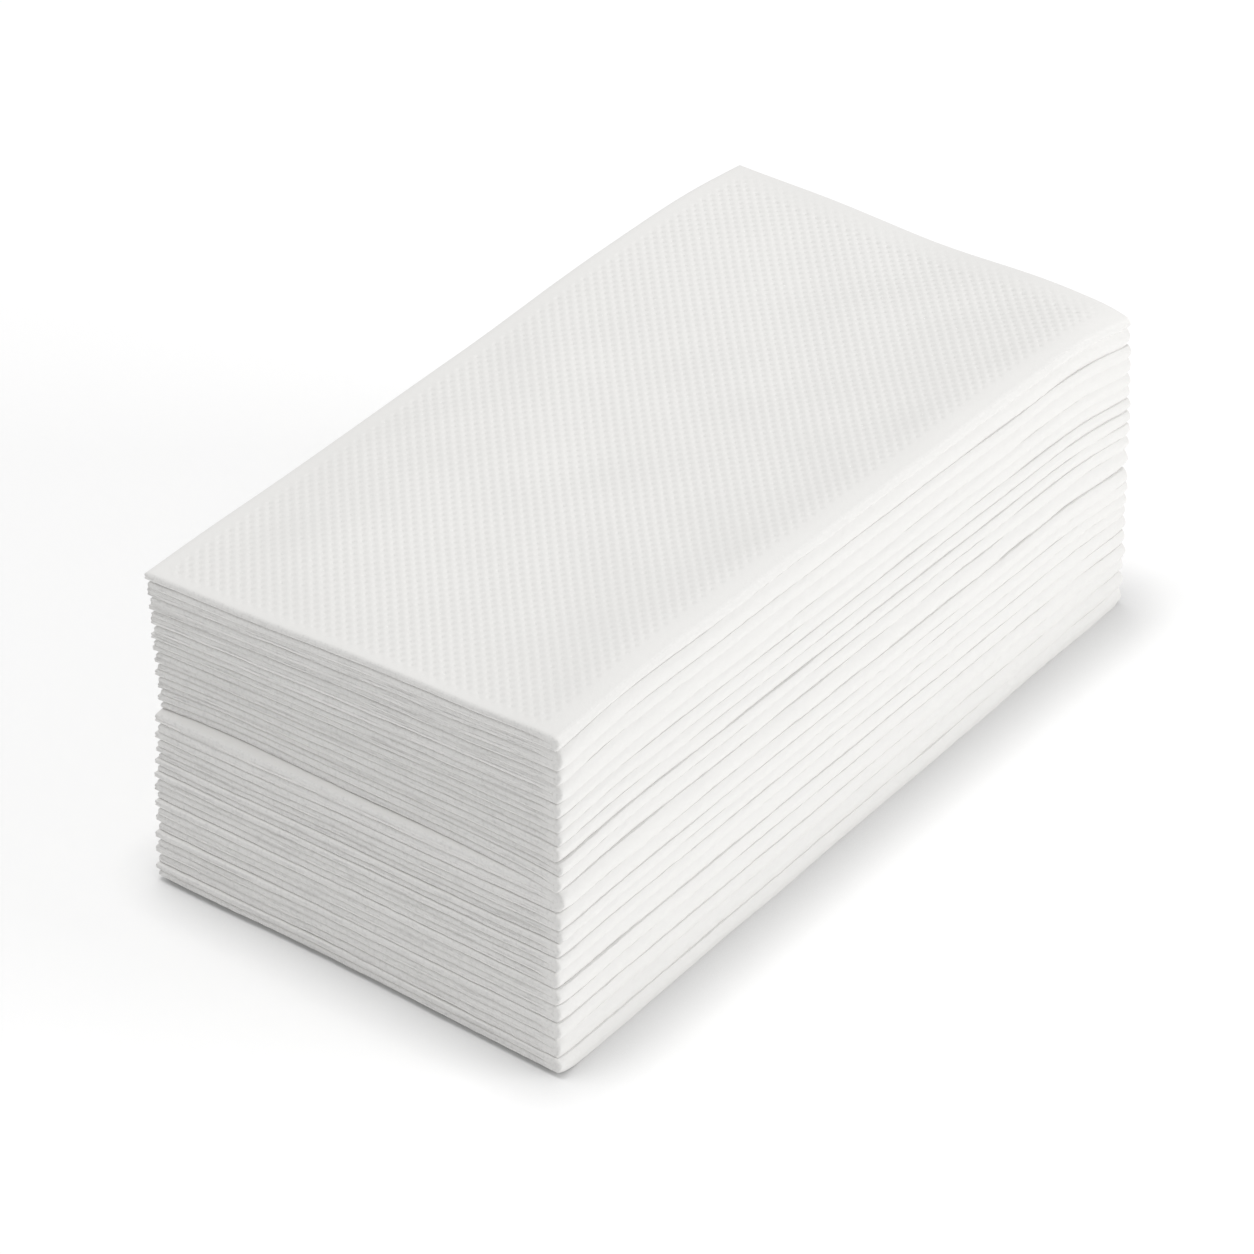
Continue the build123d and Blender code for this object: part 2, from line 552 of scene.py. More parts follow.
class Settling:
    """The surfaces between the napkins, from the floor up to the top of the stack."""

    def __init__(self, lie, seed):
        boxes = [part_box(node) for node in NODES]
        self.heights = np.array([0.0] + [high.z / MM for low, high in boxes])
        sides = np.array([(low.y + high.y) / 2 / MM for low, high in boxes])
        evened = np.convolve(np.pad(sides, 1, mode="edge"), NEIGHBOUR_SHARES, mode="valid")
        self.sides = SIDE_SCATTER_SHARE * evened
        self.lie = lie
        self.half_length = (CAD_BOX[1].x - CAD_BOX[0].x) / MM / 2
        self.half_width = (CAD_BOX[1].y - CAD_BOX[0].y) / MM / 2
        count = len(self.heights)
        self.slow = [waves(seed + SURFACE_SEED + k, *STACK_WAVES) for k in range(count)]
        self.edge = [waves(seed + EDGE_SEED + k, *EDGE_WAVES) for k in range(count)]
        self.top_waves = waves(seed + TOP_SEED, *TOP_WAVES)

    def rise(self, x, y):
        """How far the top face stands above its even height."""
        x, y = np.broadcast_arrays(x, y)
        along = x.ravel() / self.half_length
        across = y.ravel() / self.half_width
        rows = np.stack([through(ALONG, row, along) for row in TOP_RISE])
        return self.lie.bulge * through(ACROSS, rows, across).reshape(x.shape)

    def surface(self, k, x, y):
        """Height of the k-th surface at some points. The floor is the first one."""
        from_cut = x + self.half_length
        from_spine = y + self.half_width
        if k == 0:
            return self.lie.edge_lift * dying_out(from_cut, EDGE_REACH) + 0 * y
        share = self.heights[k] / self.heights[-1]
        height = self.heights[k] + share * self.rise(x, y)
        waviness = self.lie.waviness * min(1.0, share / WAVES_GROW_SHARE)
        height = height + waviness * height_of(self.slow[k], x, y)
        edges = np.maximum(dying_out(from_spine, EDGE_REACH), dying_out(from_cut, EDGE_REACH))
        height = height + self.lie.edge_waviness * height_of(self.edge[k], x, y) * edges
        if k == len(NODES):
            height = height - self.spine_drop(from_cut, from_spine)
        if k == LOWER_COUNT:
            height = height - self.lie.lip_drop * np.exp(-((from_cut / LIP_REACH) ** 2))
        return height

    def spine_drop(self, from_cut, from_spine):
        """How far the top face curves down towards its spine fold, and less at its corners."""
        from_far_end = 2 * self.half_length - from_cut
        beside_cut = rising_from(CUT_CORNER_DROP_SHARE, from_cut / CUT_CORNER_REACH)
        beside_far_end = rising_from(FAR_CORNER_DROP_SHARE, from_far_end / FAR_CORNER_REACH)
        drop = self.lie.spine_drop * np.minimum(beside_cut, beside_far_end)
        return drop * np.clip(1 - from_spine / SPINE_DROP_REACH, 0, 1) ** 2


def lie_of(node):
    """Middle, turn, length, width and thickness of a solid napkin, read from its mesh."""
    low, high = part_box(node)
    points = np.array([vertex.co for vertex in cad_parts[node].data.vertices]) / MM
    middle = (low + high) / 2 / MM
    spine_side = points[points[:, 1] < middle.y]
    open_side = points[points[:, 1] > middle.y]
    near = spine_side[spine_side[:, 0].argmin()]
    far = open_side[open_side[:, 0].argmin()]
    turn = math.atan2(near[0] - far[0], far[1] - near[1])
    wide = (high.x - low.x) / MM
    deep = (high.y - low.y) / MM
    lean = abs(math.sin(turn))
    upright = math.cos(turn)
    return SimpleNamespace(
        middle_x=middle.x,
        turn=turn,
        length=(wide * upright - deep * lean) / (upright**2 - lean**2),
        width=(deep * upright - wide * lean) / (upright**2 - lean**2),
        thickness=(high.z - low.z) / MM,
    )


# One napkin


class Napkin:
    """One folded napkin between two surfaces of the stack.

    A place on it is x along it, v along the fold path, and r through the leaf. The path runs from
    v = -2, the open end of the lower leaf, over -1..1, the spine fold, to 2, the open end of the
    upper leaf. r runs from 0 in the slot to 1 at the face.
    """

    def __init__(self, number, node, settling, folds):
        self.number = number
        self.settling = settling
        self.folds = folds
        lie = lie_of(node)
        self.half_length = lie.length / 2
        self.half_width = lie.width / 2
        self.thickness = lie.thickness
        self.middle = (lie.middle_x, settling.sides[number])
        self.turn = lie.turn
        seed = folds.seed * SEEDS_PER_STACK + number * SEEDS_PER_NAPKIN
        rng = np.random.default_rng(seed)
        self.spine_waves = waves(seed + 1, *SPINE_WAVES)
        self.crinkle_waves = waves(seed + 2, *CRINKLE_WAVES)
        self.waves_above = waves(seed + 3, *VALLEY_WAVES)
        self.waves_below = waves(seed + 4, *VALLEY_WAVES)
        self.middle_waves = waves(seed + 5, *MIDDLE_WAVES)
        self.puff_waves = waves(seed + 6, *PUFF_WAVES)
        self.layer_waves = [waves(seed + LAYER_SEED + j, *LAYER_WAVES) for j in range(LAYER_COUNT)]
        self.fray_waves = [waves(seed + FRAY_SEED + j, *FRAY_WAVES) for j in range(LAYER_COUNT)]
        self.shift = bundle_values(LOWER_SHIFTS, UPPER_SHIFTS, number)
        self.cut_back = bundle_values(LOWER_CUT_BACK, UPPER_CUT_BACK, number)
        self.valley_above = VALLEY_SHARES[number] * rng.uniform(*VALLEY_SPREAD)
        self.valley_below = VALLEY_SHARES[max(number - 1, 0)] * rng.uniform(*VALLEY_SPREAD)

    def place(self, x, v, r, out_x=0.0, out_y=0.0):
        """World points of some places, moved outwards at the ends by out_x and out_y."""
        given = (np.asarray(value, float) for value in (x, v, r, out_x, out_y))
        x, v, r, out_x, out_y = np.broadcast_arrays(*given)
        half = self.thickness / 2
        angle = np.clip(v, -1, 1) * math.pi / 2
        inner = self.slot(x, v) / 2
        radius = inner + (half - inner) * r
        y = self.across(x, v, r, inner, radius) + out_y
        z = radius * np.sin(angle)
        waviness = MIDDLE_WAVINESS * height_of(self.middle_waves, x, y)
        z = z + waviness * (1 - np.abs(z) / half)
        return self.in_stack(x, y, z, out_x)

    def slot(self, x, v):
        """Width of the slot between the leaves."""
        along_leaf = np.clip(np.abs(v) - 1, 0, None) * 2 * self.half_width
        at_spine = np.exp(-((along_leaf / SPINE_SLOT_REACH) ** 2))
        puffs = height_of(self.puff_waves, x, along_leaf + UPPER_LEAF_WAVES_AT * (v > 0))
        slot = self.folds.slot_width * (1 + PUFF_SHARE * np.clip(puffs, 0, MOST_PUFFS))
        return slot + (self.folds.spine_slot_width - self.folds.slot_width) * at_spine

    def across(self, x, v, r, inner, radius):
        """How far places lie across the napkin, from the nose of the spine to the open end."""
        folds = self.folds
        half = self.thickness / 2
        above = v > 0
        reach = np.clip(np.abs(v) - 1, 0, None)
        angle = np.clip(v, -1, 1) * math.pi / 2
        jitter = folds.spine_jitter * height_of(self.spine_waves, x, 0 * x)
        around = radius * CRINKLE_STRETCH * np.sin(angle)
        crinkle = CRINKLE_HEIGHT * height_of(self.crinkle_waves, x, around)
        tip = -self.half_width + jitter + crinkle
        deep_above = self.valley_above * (1 + VALLEY_CHANGE * height_of(self.waves_above, x, 0 * x))
        deep_below = self.valley_below * (1 + VALLEY_CHANGE * height_of(self.waves_below, x, 0 * x))
        flare = 1 + folds.spine_flare * dying_out(self.half_length - np.abs(x), FLARE_REACH)
        depth = folds.spine_roundness * half * flare * np.where(above, deep_above, deep_below)
        nose_end = tip + half * NEST_SHARE * (1 - r) * (1 - inner / half) + depth * radius / half
        nose = nose_end - depth * radius / half * np.cos(angle) ** NOSE_POWER
        setback = np.where(above, 0.0, folds.cut_leaf_setback)
        open_end = self.half_width - setback - folds.first_fold_nose
        return np.where(np.abs(v) <= 1, nose, nose_end + reach * (open_end - nose_end))

    def in_stack(self, x, y, z, out_x):
        """Turns places of the napkin into points between the two surfaces that it lies between."""
        near = 0.5 - x / self.half_length / 2
        wide = np.clip(y / self.half_width, -1, 1)
        middle_back, open_back = self.cut_back
        cut_back = middle_back * (1 - np.abs(wide) ** EDGE_CURVE_POWER) + open_back * ease(wide)
        cut_shift, far_shift, cut_side, far_side = self.shift
        x = x + out_x
        world_x = self.middle[0] + x * math.cos(self.turn) - y * math.sin(self.turn)
        world_y = self.middle[1] + x * math.sin(self.turn) + y * math.cos(self.turn)
        world_x = world_x + near * cut_shift + (1 - near) * far_shift
        world_x = world_x + near**CUT_BACK_POWER * cut_back
        world_y = world_y + near * cut_side + (1 - near) * far_side
        share = (z / self.thickness + 0.5) * (1 - NAPKIN_GAP / self.thickness)
        low = self.settling.surface(self.number, world_x, world_y)
        high = self.settling.surface(self.number + 1, world_x, world_y)
        return np.stack([world_x, world_y, low + share * (high - low)], -1)

    def layer_ends(self, at, v, r_stations):
        """How far each layer of a cut edge stands out, as an array (places, r stations).

        The places have stations v on the fold path. The layers press together at the spine fold.
        """
        out = np.zeros((len(at), len(r_stations)))
        inward = (np.abs(v) - 1) * self.half_width * 2
        loose = ease((inward - PRESSED_WIDTH) / PRESSED_REACH)
        if self.number == len(NODES) - 1:
            loose = TOP_LOOSE_SHARE * loose
        pressed = PRESSED_SHARE + (1 - PRESSED_SHARE) * loose
        scatter, groove = self.folds.layer_scatter * pressed, self.folds.layer_groove * pressed
        ends = []
        for slow, fray in zip(self.layer_waves, self.fray_waves):
            uneven = height_of(slow, at, 0 * at) + FRAY_SHARE * height_of(fray, at, 0 * at)
            ends.append(scatter * uneven)
        parts = len(IN_LAYER_SHARES) + 1
        for column, r in enumerate(r_stations):
            layer, part = divmod(column, parts)
            if part == 0 and 0 < layer < LAYER_COUNT:
                deep = groove * (MIDDLE_GROOVE_SHARE if layer == LAYER_COUNT // 2 else 1.0)
                out[:, column] = np.minimum(ends[layer - 1], ends[layer]) - deep
            else:
                rounded = LAYER_ROUNDING_SHARE if part != parts // 2 else 0.0
                out[:, column] = ends[min(layer, LAYER_COUNT - 1)] - rounded * groove
            on_slot_side = 1.0 if r > 0.5 else ease(inward / SLOT_ROUNDING_REACH)
            rounding = self.folds.leaf_rounding * on_slot_side
            out[:, column] -= rounding * abs(2 * r - 1) ** LEAF_ROUNDING_POWER
        tip = np.cos(np.clip(np.abs(v), 0, 1) * math.pi / 2)
        out -= self.folds.spine_end_rounding * (tip[:, None] * r_stations[None, :]) ** 2
        return np.clip(out, DEEPEST_END, FURTHEST_END)


def through_leaf():
    """The places through a leaf that hold its layers and the grooves between them."""
    places = [0.0]
    for layer in range(LAYER_COUNT):
        places += [(layer + share) / LAYER_COUNT for share in IN_LAYER_SHARES]
        places.append((layer + 1) / LAYER_COUNT)
    return np.array(places)


def fold_nose(r_stations, folds_in_leaf, bulge):
    """How far the folds that close a leaf stand out, at places through it."""
    inside = (r_stations * folds_in_leaf) % 1.0
    inside[r_stations >= 1] = 1.0
    return bulge * np.sqrt(np.clip(1 - (2 * inside - 1) ** 2, 0, 1))


def fold_path(step, half_width):
    """Stations along the fold path, from the lower open end over the spine to the upper one."""
    count = int(round(2 * half_width * (1 - SHOULDER[-1]) / step))
    leaf = 1 + np.linspace(SHOULDER[-1], 1, count + 1)
    shoulder = 1 + SHOULDER
    upper = [shoulder[:-1], leaf]
    lower = [-leaf[::-1], -shoulder[-2::-1]]
    return np.concatenate([*lower, SPINE_TURNS, *upper])


def along_side(half_length, step):
    """Places along a long side of a napkin."""
    return np.linspace(-half_length, half_length, int(round(2 * half_length / step)) + 1)


def leaf_face(skin, napkin, side, r, edges, inner_x, inner_share, lift=None):
    """One face of a leaf: two rings along its edges, and a grid inside them.

    edges holds, for the cut end, the open side, the cross fold and the spine, vertex numbers with
    their x and their share of the leaf, each in the order that goes round the leaf.
    """
    low_share = SHOULDER[-1]

    def inwards(x, share, inset):
        """Draws places on an edge inwards by an inset in millimetres."""
        shrink_x = inset / napkin.half_length
        shrink_share = inset / (2 * napkin.half_width)
        reach = (share - low_share) / (1 - low_share)
        return x * (1 - shrink_x), low_share + shrink_share + reach * (1 - low_share - 2 * shrink_share)

    def put(x, share):
        """Adds points of this face."""
        points = napkin.place(x, side * (1 + share), r)
        if lift is not None:
            points[..., 2] += lift(x, share)
        return skin.add(points)

    loops = [edges]
    for inset in RING_INSETS:
        places = [inwards(x, share, inset) for _, x, share in edges]
        fresh = [put(x[:-1], share[:-1]) for x, share in places]
        closed = [np.append(fresh[k], fresh[(k + 1) % len(fresh)][0]) for k in range(len(fresh))]
        loops.append([(numbers, x, share) for numbers, (x, share) in zip(closed, places)])
    for outer, inner in zip(loops[:-1], loops[1:]):
        for (outer_numbers, _, _), (inner_numbers, _, _) in zip(outer, inner):
            skin.cover(np.stack([outer_numbers, inner_numbers]), FACE)

    grid = put(inner_x[:, None], inner_share[None, :])
    skin.cover(grid, FACE)
    cut, open_side, cross, spine = loops[-1]
    skin.stitch(cut[0], cut[2], grid[0, :], inner_share, FACE)
    skin.stitch(open_side[0], open_side[1], grid[:, -1], inner_x, FACE)
    skin.stitch(cross[0], -cross[2], grid[-1, ::-1], -inner_share[::-1], FACE)
    skin.stitch(spine[0], -spine[1], grid[::-1, 0], -inner_x[::-1], FACE)


class LeafWalls:
    """The walls round the two leaves of a napkin: two ends along the fold path, two open sides."""

    def __init__(self, skin, napkin):
        folds = napkin.folds
        self.skin = skin
        self.napkin = napkin
        self.r_stations = through_leaf()
        self.cut_path = fold_path(CUT_STEP, napkin.half_width)
        self.cross_path = fold_path(CROSS_STEP, napkin.half_width)
        self.open_x = along_side(napkin.half_length, OPEN_STEP)

        # How far each place stands out, through the whole leaf.
        cross_nose = fold_nose(self.r_stations, 1, folds.cross_fold_nose)
        upper_nose = fold_nose(self.r_stations, 2, folds.first_fold_nose)
        cut_at = self.cut_path * napkin.half_width * 2
        cut_out = napkin.layer_ends(cut_at, self.cut_path, self.r_stations)
        open_ends = np.full(len(self.open_x), 2.0)
        lower_out = napkin.layer_ends(self.open_x + OPEN_SIDE_WAVES_AT, open_ends, self.r_stations)

        cross_out = cross_nose[None, :] - folds.cross_fold_nose
        self.cut = self.end(self.cut_path, -1, cut_out, lower_out[0], upper_nose)
        self.cross = self.end(self.cross_path, 1, cross_out, lower_out[-1], upper_nose)
        self.upper = self.open_side(1, upper_nose)
        self.lower = self.open_side(-1, lower_out)
        skin.cover(self.cut, CUT)
        skin.cover(self.cross, FOLD)
        skin.cover(self.upper, FOLD)
        skin.cover(self.lower, CUT)

    def end(self, path, sign, out, lower_corner, upper_corner):
        """The wall along the fold path at one end of the napkin."""
        out = np.broadcast_to(out, (len(path), len(self.r_stations)))
        side_out = np.zeros_like(out)
        side_out[0] = lower_corner
        side_out[-1] = upper_corner
        x = sign * self.napkin.half_length
        points = self.napkin.place(x, path[:, None], self.r_stations[None, :], sign * out, side_out)
        return self.skin.add(points)

    def open_side(self, side, out):
        """The wall along an open end of a leaf, between the two end walls."""
        out = np.broadcast_to(out, (len(self.open_x), len(self.r_stations)))[1:-1]
        x = self.open_x[1:-1, None]
        middle = self.skin.add(self.napkin.place(x, side * 2.0, self.r_stations[None, :], 0, out))
        end = -1 if side > 0 else 0
        return np.concatenate([self.cut[end][None], middle, self.cross[end][None]])

    def spine_strip(self, r, along):
        """The strip round the spine, as a grid of vertex numbers, and the x of its rows."""
        half_length = self.napkin.half_length
        shoulder = 1 + SHOULDER
        turns = np.concatenate([-shoulder[::-1], SPINE_TURNS, shoulder])
        in_cut = [int(np.abs(self.cut_path - v).argmin()) for v in turns]
        in_cross = [int(np.abs(self.cross_path - v).argmin()) for v in turns]
        inside = (along > STRIP_START - half_length) & (along < half_length - STRIP_END)
        middle = along[inside]
        rows = self.skin.add(self.napkin.place(middle[:, None], turns[None, :], r))
        column = -1 if r > 0 else 0
        near, far = self.cut[in_cut, column][None], self.cross[in_cross, column][None]
        strip = np.concatenate([near, rows, far])
        self.skin.cover(strip, FOLD)
        return strip, np.concatenate([[-half_length], middle, [half_length]])

    def face_edges(self, side, r, strip, strip_x):
        """The four edges of a face of a leaf, in the order that goes round it."""
        column = -1 if r > 0 else 0
        half_length = self.napkin.half_length
        cut, cut_share = self.leaf_part(self.cut, self.cut_path, side, column)
        cross, cross_share = self.leaf_part(self.cross, self.cross_path, side, column)
        wall = self.upper if side > 0 else self.lower
        spine = strip[:, -1 if side > 0 else 0]
        return [
            (cut, np.full(len(cut), -half_length), cut_share),
            (wall[:, column], self.open_x, np.ones(len(self.open_x))),
            (cross[::-1], np.full(len(cross), half_length), cross_share[::-1]),
            (spine[::-1], strip_x[::-1], np.full(len(strip_x), SHOULDER[-1])),
        ]

    def leaf_part(self, wall, path, side, column):
        """Vertex numbers of an end wall beside one leaf, outwards, and their shares of the leaf."""
        part = np.nonzero(side * path >= 1 + SHOULDER[-1] - ROUNDING_ERROR)[0]
        part = part if side > 0 else part[::-1]
        return wall[part, column], np.abs(path[part]) - 1


def fold_napkin(node, settling, folds, materials, dress=None):
    """Makes one napkin. A dress gives its upper face a grid and a relief of its own."""
    napkin = Napkin(NODES.index(node), node, settling, folds)
    skin = Skin()
    walls = LeafWalls(skin, napkin)
    side_x = along_side(napkin.half_length, SIDE_STEP)
    strips = {
        1.0: walls.spine_strip(1.0, side_x),
        0.0: walls.spine_strip(0.0, walls.open_x[::SLOT_STRIDE]),
    }
    grid_end = napkin.half_length - GRID_MARGIN
    for side in (1, -1):
        for r, (strip, strip_x) in strips.items():
            edges = walls.face_edges(side, r, strip, strip_x)
            if dress is not None and side > 0 and r > 0:
                leaf_face(skin, napkin, side, r, edges, *dress(napkin))
            else:
                inner_x = np.linspace(-grid_end, grid_end, GRID_COUNTS[0])
                inner_share = np.linspace(*GRID_SHARES, GRID_COUNTS[1])
                leaf_face(skin, napkin, side, r, edges, inner_x, inner_share)
    piece = skin.build(node + "_folded", materials)
    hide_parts(node)
    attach(piece, BODY)


def embossed(emboss, settling):
    """Returns what dresses the face of the top napkin: a fine grid, and the relief of the dots."""

    def dress(napkin):
        """The inner grid of the face and its lift."""
        width = 2 * napkin.half_width
        half_length = napkin.half_length
        step_x = emboss.pitch_along / VERTICES_PER_PITCH[0]
        step_y = emboss.pitch_across / VERTICES_PER_PITCH[1]
        inner_x = np.arange(-half_length + GRID_FROM_ENDS, half_length - GRID_FROM_ENDS, step_x)
        inner_y = np.arange(GRID_FROM_SPINE, width - GRID_FROM_OPEN_SIDE, step_y)

        def dots(x, y):
            """Two sets of dots, each halfway between those of the other."""
            phase_x = (x - inner_x[0]) / (2 * emboss.pitch_along)
            phase_y = (y - inner_y[0]) / emboss.pitch_across
            dot = np.zeros(np.broadcast(x, y).shape)
            for shift in (0.0, 0.5):
                dx = (phase_x + shift + 0.5) % 1.0 - 0.5
                dy = (phase_y + shift + 0.5) % 1.0 - 0.5
                squared = (dx * 2 * emboss.pitch_along) ** 2 + (dy * emboss.pitch_across) ** 2
                dot = dot + np.exp(-squared * (2 / emboss.width) ** 2)
            return dot

        def lift(x, share):
            """Height of the dots and of the slow waves."""
            y = share * width
            from_cut, from_cross, from_open = x + half_length, half_length - x, width - y
            fade = ease((y - emboss.spine_band) / SPINE_FADE_REACH)
            fade = fade * ease((from_open - OPEN_FADE_START) / OPEN_FADE_REACH)
            fade = fade * ease((from_cut - CUT_FADE_START) / CUT_FADE_REACH)
            fade = fade * ease((from_cross - CROSS_FADE_START) / CROSS_FADE_REACH)
            beyond_row = STRONG_ROW_FROM_END - from_cross
            strong = WEAK_DOT_SHARE * np.exp(-((beyond_row / STRONG_ROW_WIDTH) ** 2))
            fade = fade * (1 - WEAK_DOT_SHARE * ease(beyond_row / WEAK_DOT_REACH) + strong)
            slow = TOP_WAVINESS * height_of(settling.top_waves, x, y)
            slow = slow * ease(y / CALM_SIDE_REACH) * ease(from_open / CALM_SIDE_REACH)
            slow = slow * ease(from_cut / CALM_END_REACH) * ease(from_cross / CALM_END_REACH)
            return slow - emboss.depth * dots(x, y) * fade

        return inner_x, inner_y / width, lift

    return dress


# Materials


def node_group(name, inputs, outputs):
    """An empty shader node group with named inputs and outputs."""
    group = bpy.data.node_groups.new(name, "ShaderNodeTree")
    for label in inputs:
        socket = group.interface.new_socket(name=label, in_out="INPUT", socket_type="NodeSocketFloat")
        socket.default_value = 1.0
    for label in outputs:
        group.interface.new_socket(name=label, in_out="OUTPUT", socket_type="NodeSocketFloat")
    return group, group.nodes.new("NodeGroupInput"), group.nodes.new("NodeGroupOutput")


def math_node(tree, operation, first, second, clamp=False):
    """Joins two values, which are sockets or numbers, and returns the result's socket."""
    node = tree.nodes.new("ShaderNodeMath")
    node.operation = operation
    node.use_clamp = clamp
    for socket, value in zip(node.inputs, (first, second)):
        if isinstance(value, bpy.types.NodeSocket):
            tree.links.new(value, socket)
        else:
            socket.default_value = value
    return node.outputs[0]


def mix_node(tree, first, second, factor):
    """Mixes two colours, of which the first may be a socket, and returns the result's socket."""
    node = tree.nodes.new("ShaderNodeMix")
    node.data_type = "RGBA"
    if isinstance(first, bpy.types.NodeSocket):
        tree.links.new(first, node.inputs["A"])
    else:
        node.inputs["A"].default_value = first
    node.inputs["B"].default_value = second
    tree.links.new(factor, node.inputs["Factor"])
    return node.outputs["Result"]


def times(color, share):
    """A colour made darker or lighter by a share, with its alpha."""
    return [min(1, value * share) for value in color] + [1]


def noise_in(group, given, scale, detail, roughness=0.5):
    """Noise fixed to the napkin, whose scale follows the group's own."""
    place = group.nodes.new("ShaderNodeTexCoord")
    noise = group.nodes.new("ShaderNodeTexNoise")
    noise.inputs["Detail"].default_value = detail
    noise.inputs["Roughness"].default_value = roughness
    group.links.new(place.outputs["Object"], noise.inputs["Vector"])
    group.links.new(math_node(group, "MULTIPLY", given.outputs["Scale"], scale), noise.inputs["Scale"])
    return noise.outputs["Fac"]


def tissue_fibre():
    """Felted fibres: a fine height and a slight shade that change over the sheet."""
    group, given, result = node_group("tissue_fibre", ["Scale", "Depth"], ["Height", "Shade"])
    fine = math_node(group, "MULTIPLY", noise_in(group, given, *FINE_FIBRE), FINE_SHARE)
    coarse = math_node(group, "MULTIPLY", noise_in(group, given, *COARSE_FIBRE), COARSE_SHARE)
    both = math_node(group, "ADD", fine, coarse)
    height = math_node(group, "MULTIPLY", both, given.outputs["Depth"])
    group.links.new(height, result.inputs["Height"])
    group.links.new(both, result.inputs["Shade"])
    return group


def cut_speckle():
    """Loose fibres and pin holes at a cut edge: dark specks of one size, and none between them."""
    group, given, result = node_group("cut_speckle", ["Scale", "Amount"], ["Shade"])
    noise = noise_in(group, given, SPECK_SCALE, SPECK_DETAIL)
    above = math_node(group, "SUBTRACT", noise, SPECK_MIDDLE)
    speck = math_node(group, "MULTIPLY", above, SPECK_CONTRAST, clamp=True)
    shade = math_node(group, "MULTIPLY", speck, given.outputs["Amount"])
    group.links.new(shade, result.inputs["Shade"])
    return group


def paper(name, color, fibre, bump, shade, speckle=None):
    """White tissue. The fibres raise it and shade it a little, and a cut edge has specks."""
    material = bpy.data.materials.new(name)
    material.use_nodes = True
    tree = material.node_tree
    shader = tree.nodes["Principled BSDF"]
    shader.inputs["Roughness"].default_value = PAPER_ROUGHNESS
    shader.inputs["Specular IOR Level"].default_value = PAPER_SPECULAR
    felt = tree.nodes.new("ShaderNodeGroup")
    felt.node_tree = fibre
    tint = mix_node(tree, times(color, 1 - shade), times(color, 1 + shade), felt.outputs["Shade"])
    if speckle is not None:
        specks = tree.nodes.new("ShaderNodeGroup")
        specks.node_tree = speckle
        tint = mix_node(tree, tint, times(color, SPECK_COLOR_SHARE), specks.outputs["Shade"])
    tree.links.new(tint, shader.inputs["Base Color"])
    relief = tree.nodes.new("ShaderNodeBump")
    relief.inputs["Strength"].default_value = 1.0
    relief.inputs["Distance"].default_value = bump * MM
    tree.links.new(felt.outputs["Height"], relief.inputs["Height"])
    tree.links.new(relief.outputs["Normal"], shader.inputs["Normal"])
    return material


def napkin_materials():
    """The three finishes of a napkin: face, fold and cut edge."""
    names = ("napkin_face", "napkin_fold", "napkin_cut")
    if names[0] in bpy.data.materials:
        return [bpy.data.materials[name] for name in names]
    color = list(bpy.context.scene.napkin_stage.paper_color)
    fibre = tissue_fibre()
    return [
        paper(names[FACE], color, fibre, bump=0.08, shade=0.02),
        paper(names[FOLD], color, fibre, bump=0.14, shade=0.02),
        paper(names[CUT], color, fibre, bump=0.12, shade=0.03, speckle=cut_speckle()),
    ]


def pale_floor(stage):
    """White floor that glows a little, with painted shadow: its colour darkens round the stack, where
    the stack hides the sky.
    """
    material = bpy.data.materials.new("pale_floor")
    material.use_nodes = True
    tree = material.node_tree
    shader = tree.nodes["Principled BSDF"]
    # Painted shadow: ambient occlusion darkens the floor's colour near the stack.
    painted_shadow_mask = tree.nodes.new("ShaderNodeAmbientOcclusion")
    painted_shadow_mask.samples = 4
    painted_shadow_mask.inputs["Distance"].default_value = stage.painted_shadow_reach
    dark, pale = times(stage.floor_color, 1 - stage.painted_shadow_strength), times(stage.floor_color, 1)
    tree.links.new(mix_node(tree, dark, pale, painted_shadow_mask.outputs["AO"]), shader.inputs["Base Color"])
    shader.inputs["Roughness"].default_value = 1.0
    shader.inputs["Specular IOR Level"].default_value = 0.0
    shader.inputs["Emission Color"].default_value = (1, 1, 1, 1)
    shader.inputs["Emission Strength"].default_value = stage.floor_glow
    return material


# Operators


def fold_bundle(nodes, embossed_face=False):
    """Folds and lays the napkins of one bundle."""
    scene = bpy.context.scene
    folds = in_millimetres(scene.napkin_folds)
    settling = Settling(in_millimetres(scene.napkin_lie), folds.seed)
    materials = napkin_materials()
    dress = embossed(in_millimetres(scene.napkin_emboss), settling) if embossed_face else None
    for node in nodes:
        fold_napkin(node, settling, folds, materials, dress)


class NAPKIN_OT_lower_bundle(bpy.types.Operator):
    """Fold and lay the napkins of the lower bundle"""

    bl_idname = "napkin.lower_bundle"
    bl_label = "Lower Bundle"

    def execute(self, context):
        fold_bundle(LOWER_BUNDLE)
        return {"FINISHED"}


class NAPKIN_OT_upper_bundle(bpy.types.Operator):
    """Fold and lay the napkins of the upper bundle, apart from the top one"""

    bl_idname = "napkin.upper_bundle"
    bl_label = "Upper Bundle"

    def execute(self, context):
        fold_bundle(UPPER_BUNDLE)
        return {"FINISHED"}


class NAPKIN_OT_top_napkin(bpy.types.Operator):
    """Fold and lay the top napkin, with its embossed face"""

    bl_idname = "napkin.top_napkin"
    bl_label = "Top Napkin"

    def execute(self, context):
        fold_bundle(TOP_NAPKIN, embossed_face=True)
        return {"FINISHED"}


def floor_sheet(material):
    """A large square floor under the stack."""
    corners = [(-1, -1), (1, -1), (1, 1), (-1, 1)]
    mesh = bpy.data.meshes.new("floor")
    mesh.from_pydata([(x * FLOOR_REACH, y * FLOOR_REACH, 0) for x, y in corners], [], [(0, 1, 2, 3)])
    mesh.materials.append(material)
    floor = bpy.data.objects.new("floor", mesh)
    bpy.context.scene.collection.objects.link(floor)
    return floor


